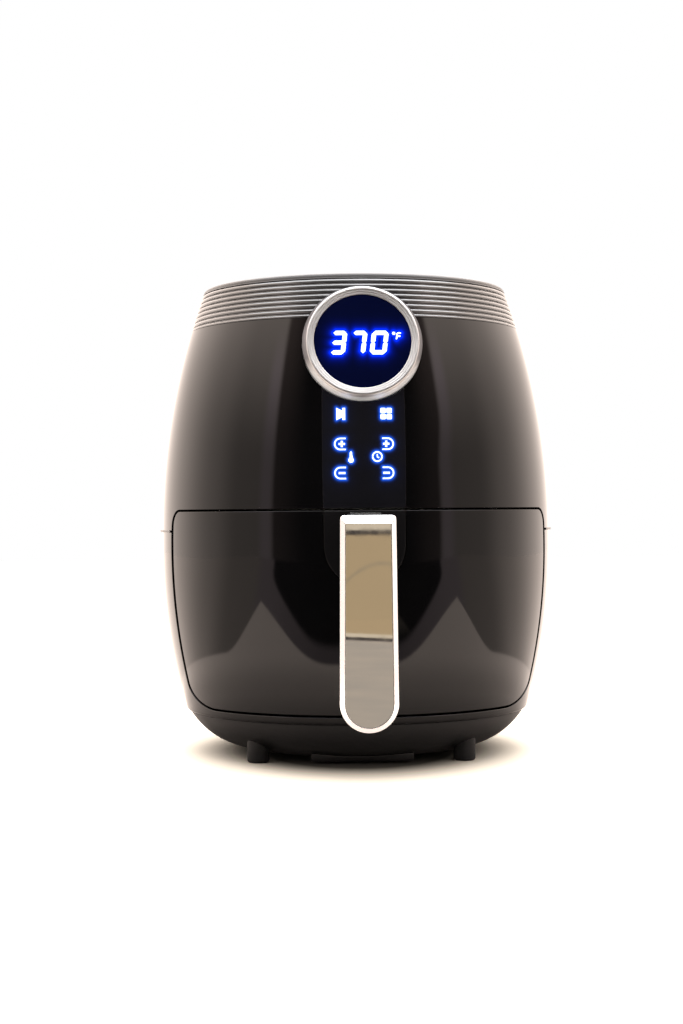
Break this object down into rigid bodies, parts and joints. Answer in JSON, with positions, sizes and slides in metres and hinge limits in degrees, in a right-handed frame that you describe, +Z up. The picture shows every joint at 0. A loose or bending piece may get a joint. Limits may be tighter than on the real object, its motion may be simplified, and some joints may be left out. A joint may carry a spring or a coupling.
{
  "type": "air fryer",
  "caption": "Barrel-shaped countertop air fryer with a pull-out drawer, an upright handle, a round lit display, a touch strip and a ribbed band under its lid.",
  "frame": {"origin": "bottom centre of the bounding box, on the floor plane under the feet", "axes": "+X to the right as one faces the drawer, +Y to the back, +Z up; the handle is at -Y"},
  "size_m": [0.2904, 0.3404, 0.34],
  "materials": {
    "black_gloss": "deep gloss black",
    "black_satin": "fine satin black",
    "black_mirror": "mirror gloss black panel",
    "chrome": "polished chrome",
    "satin_chrome": "spun satin chrome",
    "smoked_lens": "smoked clear cover",
    "digits": "diffusing white segments, lit blue-white",
    "circuit_board": "green solder mask",
    "foil": "amber sensing film",
    "rubber": "matte",
    "screw_steel": "zinc plated",
    "sheet_steel": "galvanised sheet",
    "aluminised_steel": "aluminised sheet",
    "nonstick": "dark grey non-stick coat, fine speckle",
    "heater_steel": "heat-tinted stainless tube",
    "shaft_steel": "ground",
    "lamination": "stacked laminations, lacquered",
    "copper_winding": "enamelled copper wire",
    "bronze": "sintered bronze",
    "fan_plastic": "grey moulded",
    "button_grey": "satin grey",
    "clear_guard": "smoky translucent grey",
    "component_dark": "black and blue component bodies",
    "fuse_white": "glazed body with a glass-fibre sleeve"
  },
  "bodies": {
    "housing": {"lower_housing": "black_gloss", "upper_housing": "black_gloss", "seam_ring": "black_satin", "ribbed_band": "black_gloss", "top_cover": "black_gloss", "display_ring": "satin_chrome", "display_lens": "smoked_lens", "digit_module": "digits", "display_board": "circuit_board", "touch_panel": "black_mirror", "touch_foil": "foil", "base": "black_satin", "feet": "rubber", "foot_screws": "screw_steel", "base_deck": "black_satin", "bay_tray": "sheet_steel", "bay_frame": "black_satin", "drawer_rails": "black_satin", "chamber_liner": "aluminised_steel", "chamber_deck": "sheet_steel", "heating_element": "heater_steel", "heater_clips": "aluminised_steel", "heat_shield": "aluminised_steel", "motor_posts": "screw_steel", "motor_brackets": "sheet_steel", "shaft_bearings": "bronze", "motor_stator": "lamination", "motor_winding": "copper_winding", "exhaust_duct": "aluminised_steel", "vent_hood": "black_gloss", "cord_gland": "rubber", "power_board": "circuit_board", "board_standoffs": "component_dark", "board_parts": "component_dark", "temperature_sensor": "shaft_steel", "thermal_fuse": "fuse_white", "drawer_switch": "component_dark"},
    "drawer": {"drawer_front": "black_gloss", "inner_panel": "black_satin", "pan": "nonstick", "rivets": "screw_steel", "basket": "nonstick", "basket_pads": "rubber", "basket_bracket": "sheet_steel", "handle_insert": "black_gloss", "latch_pin": "shaft_steel", "handle_body": "black_gloss", "handle_rim": "chrome", "handle_plate": "chrome", "handle_screws": "screw_steel", "button_spring": "shaft_steel"},
    "fan_rotor": {"hot_air_fan": "aluminised_steel", "motor_shaft": "shaft_steel", "motor_rotor": "lamination", "cooling_fan": "fan_plastic", "fan_nut": "screw_steel"},
    "button": {"release_button": "button_grey"},
    "lever": {"latch_lever": "screw_steel"},
    "guard": {"button_guard": "clear_guard"},
    "plunger": {"switch_plunger": "button_grey"}
  },
  "joints": [
    {"name": "drawer_slide", "type": "slide", "parent": "housing", "child": "drawer", "axis": [0, -1, 0], "range_m": [0, 0.26]},
    {"name": "fan_spin", "type": "hinge", "parent": "housing", "child": "fan_rotor", "pos_m": [0, 0.02029, 0.25], "axis": [0, 0, 1], "continuous": true},
    {"name": "button_press", "type": "slide", "parent": "drawer", "child": "button", "axis": [0, 0, -1], "range_m": [0, 0.0025], "stiffness_N_per_m": 400, "springref_m": -0.001, "deforming": ["button_spring"]},
    {"name": "lever_pivot", "type": "hinge", "parent": "drawer", "child": "lever", "pos_m": [0, -0.08771, 0.154], "axis": [1, 0, 0], "range_deg": [0, 3.2]},
    {"name": "guard_slide", "type": "slide", "parent": "drawer", "child": "guard", "axis": [0, -1, 0], "range_m": [0, 0.013]},
    {"name": "plunger_travel", "type": "slide", "parent": "housing", "child": "plunger", "axis": [0, 1, 0], "range_m": [0, 0.0008], "stiffness_N_per_m": 300, "springref_m": -0.0005}
  ],
  "couplings": [
    {"joint": "lever_pivot", "follows": "button_press", "rad_per_m": 22.2}
  ]
}
